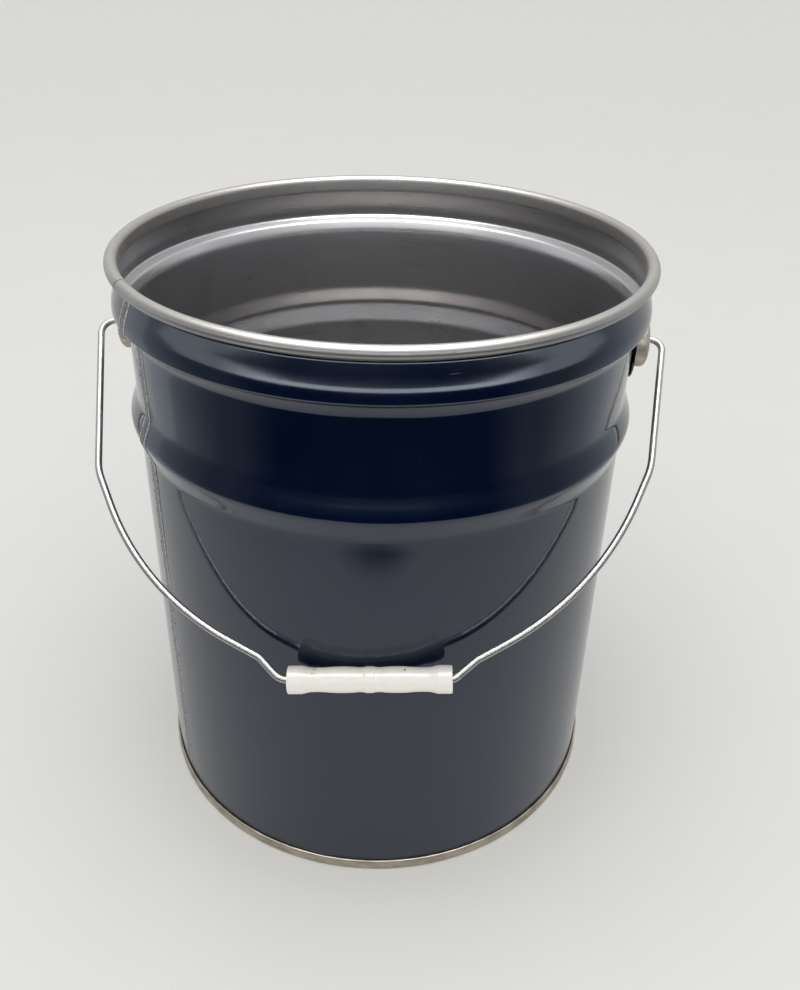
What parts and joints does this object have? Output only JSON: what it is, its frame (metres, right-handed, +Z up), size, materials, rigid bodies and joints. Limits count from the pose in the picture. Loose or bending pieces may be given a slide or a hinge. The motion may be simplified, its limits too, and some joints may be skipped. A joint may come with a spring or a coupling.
{
  "type": "open-head steel pail",
  "caption": "Tall round steel pail with a rolled open rim, two swaged bands, cup ears and a swinging wire bail with a turning plastic grip.",
  "frame": {"origin": "centre of the circle that the bottom chime stands on", "axes": "+Z up through the open mouth, X through the two ears, the bail resting on the -Y side"},
  "size_m": [0.3358, 0.3126, 0.3507],
  "materials": {
    "painted_steel": "gloss near-black navy enamel outside, bare steel inside and on the curl",
    "weld_steel": "thinly painted weld bead",
    "bottom_steel": "bare tan-grey tinplated steel",
    "seam_rubber": "dull sealing compound",
    "ear_steel": "dull tan zinc-plated steel",
    "wire_steel": "bright galvanised wire",
    "grip_plastic": "off-white moulded plastic with scuffs"
  },
  "bodies": {
    "can": {"body_shell": "painted_steel", "side_seam_weld": "weld_steel", "bottom_end": "bottom_steel", "seam_compound": "seam_rubber", "ear_left": "ear_steel", "ear_right": "ear_steel"},
    "bail": {"bail_wire": "wire_steel"},
    "grip_sleeve": {"grip": "grip_plastic"}
  },
  "joints": [
    {"name": "bail_swing", "type": "hinge", "parent": "can", "child": "bail", "pos_m": [0, 0, 0.2962], "axis": [-1, 0, 0], "range_deg": [0, 262]},
    {"name": "grip_spin", "type": "hinge", "parent": "bail", "child": "grip_sleeve", "pos_m": [0.0039, -0.15125, 0.16058], "axis": [0.9984, 0.0122, 0.0552], "continuous": true}
  ]
}
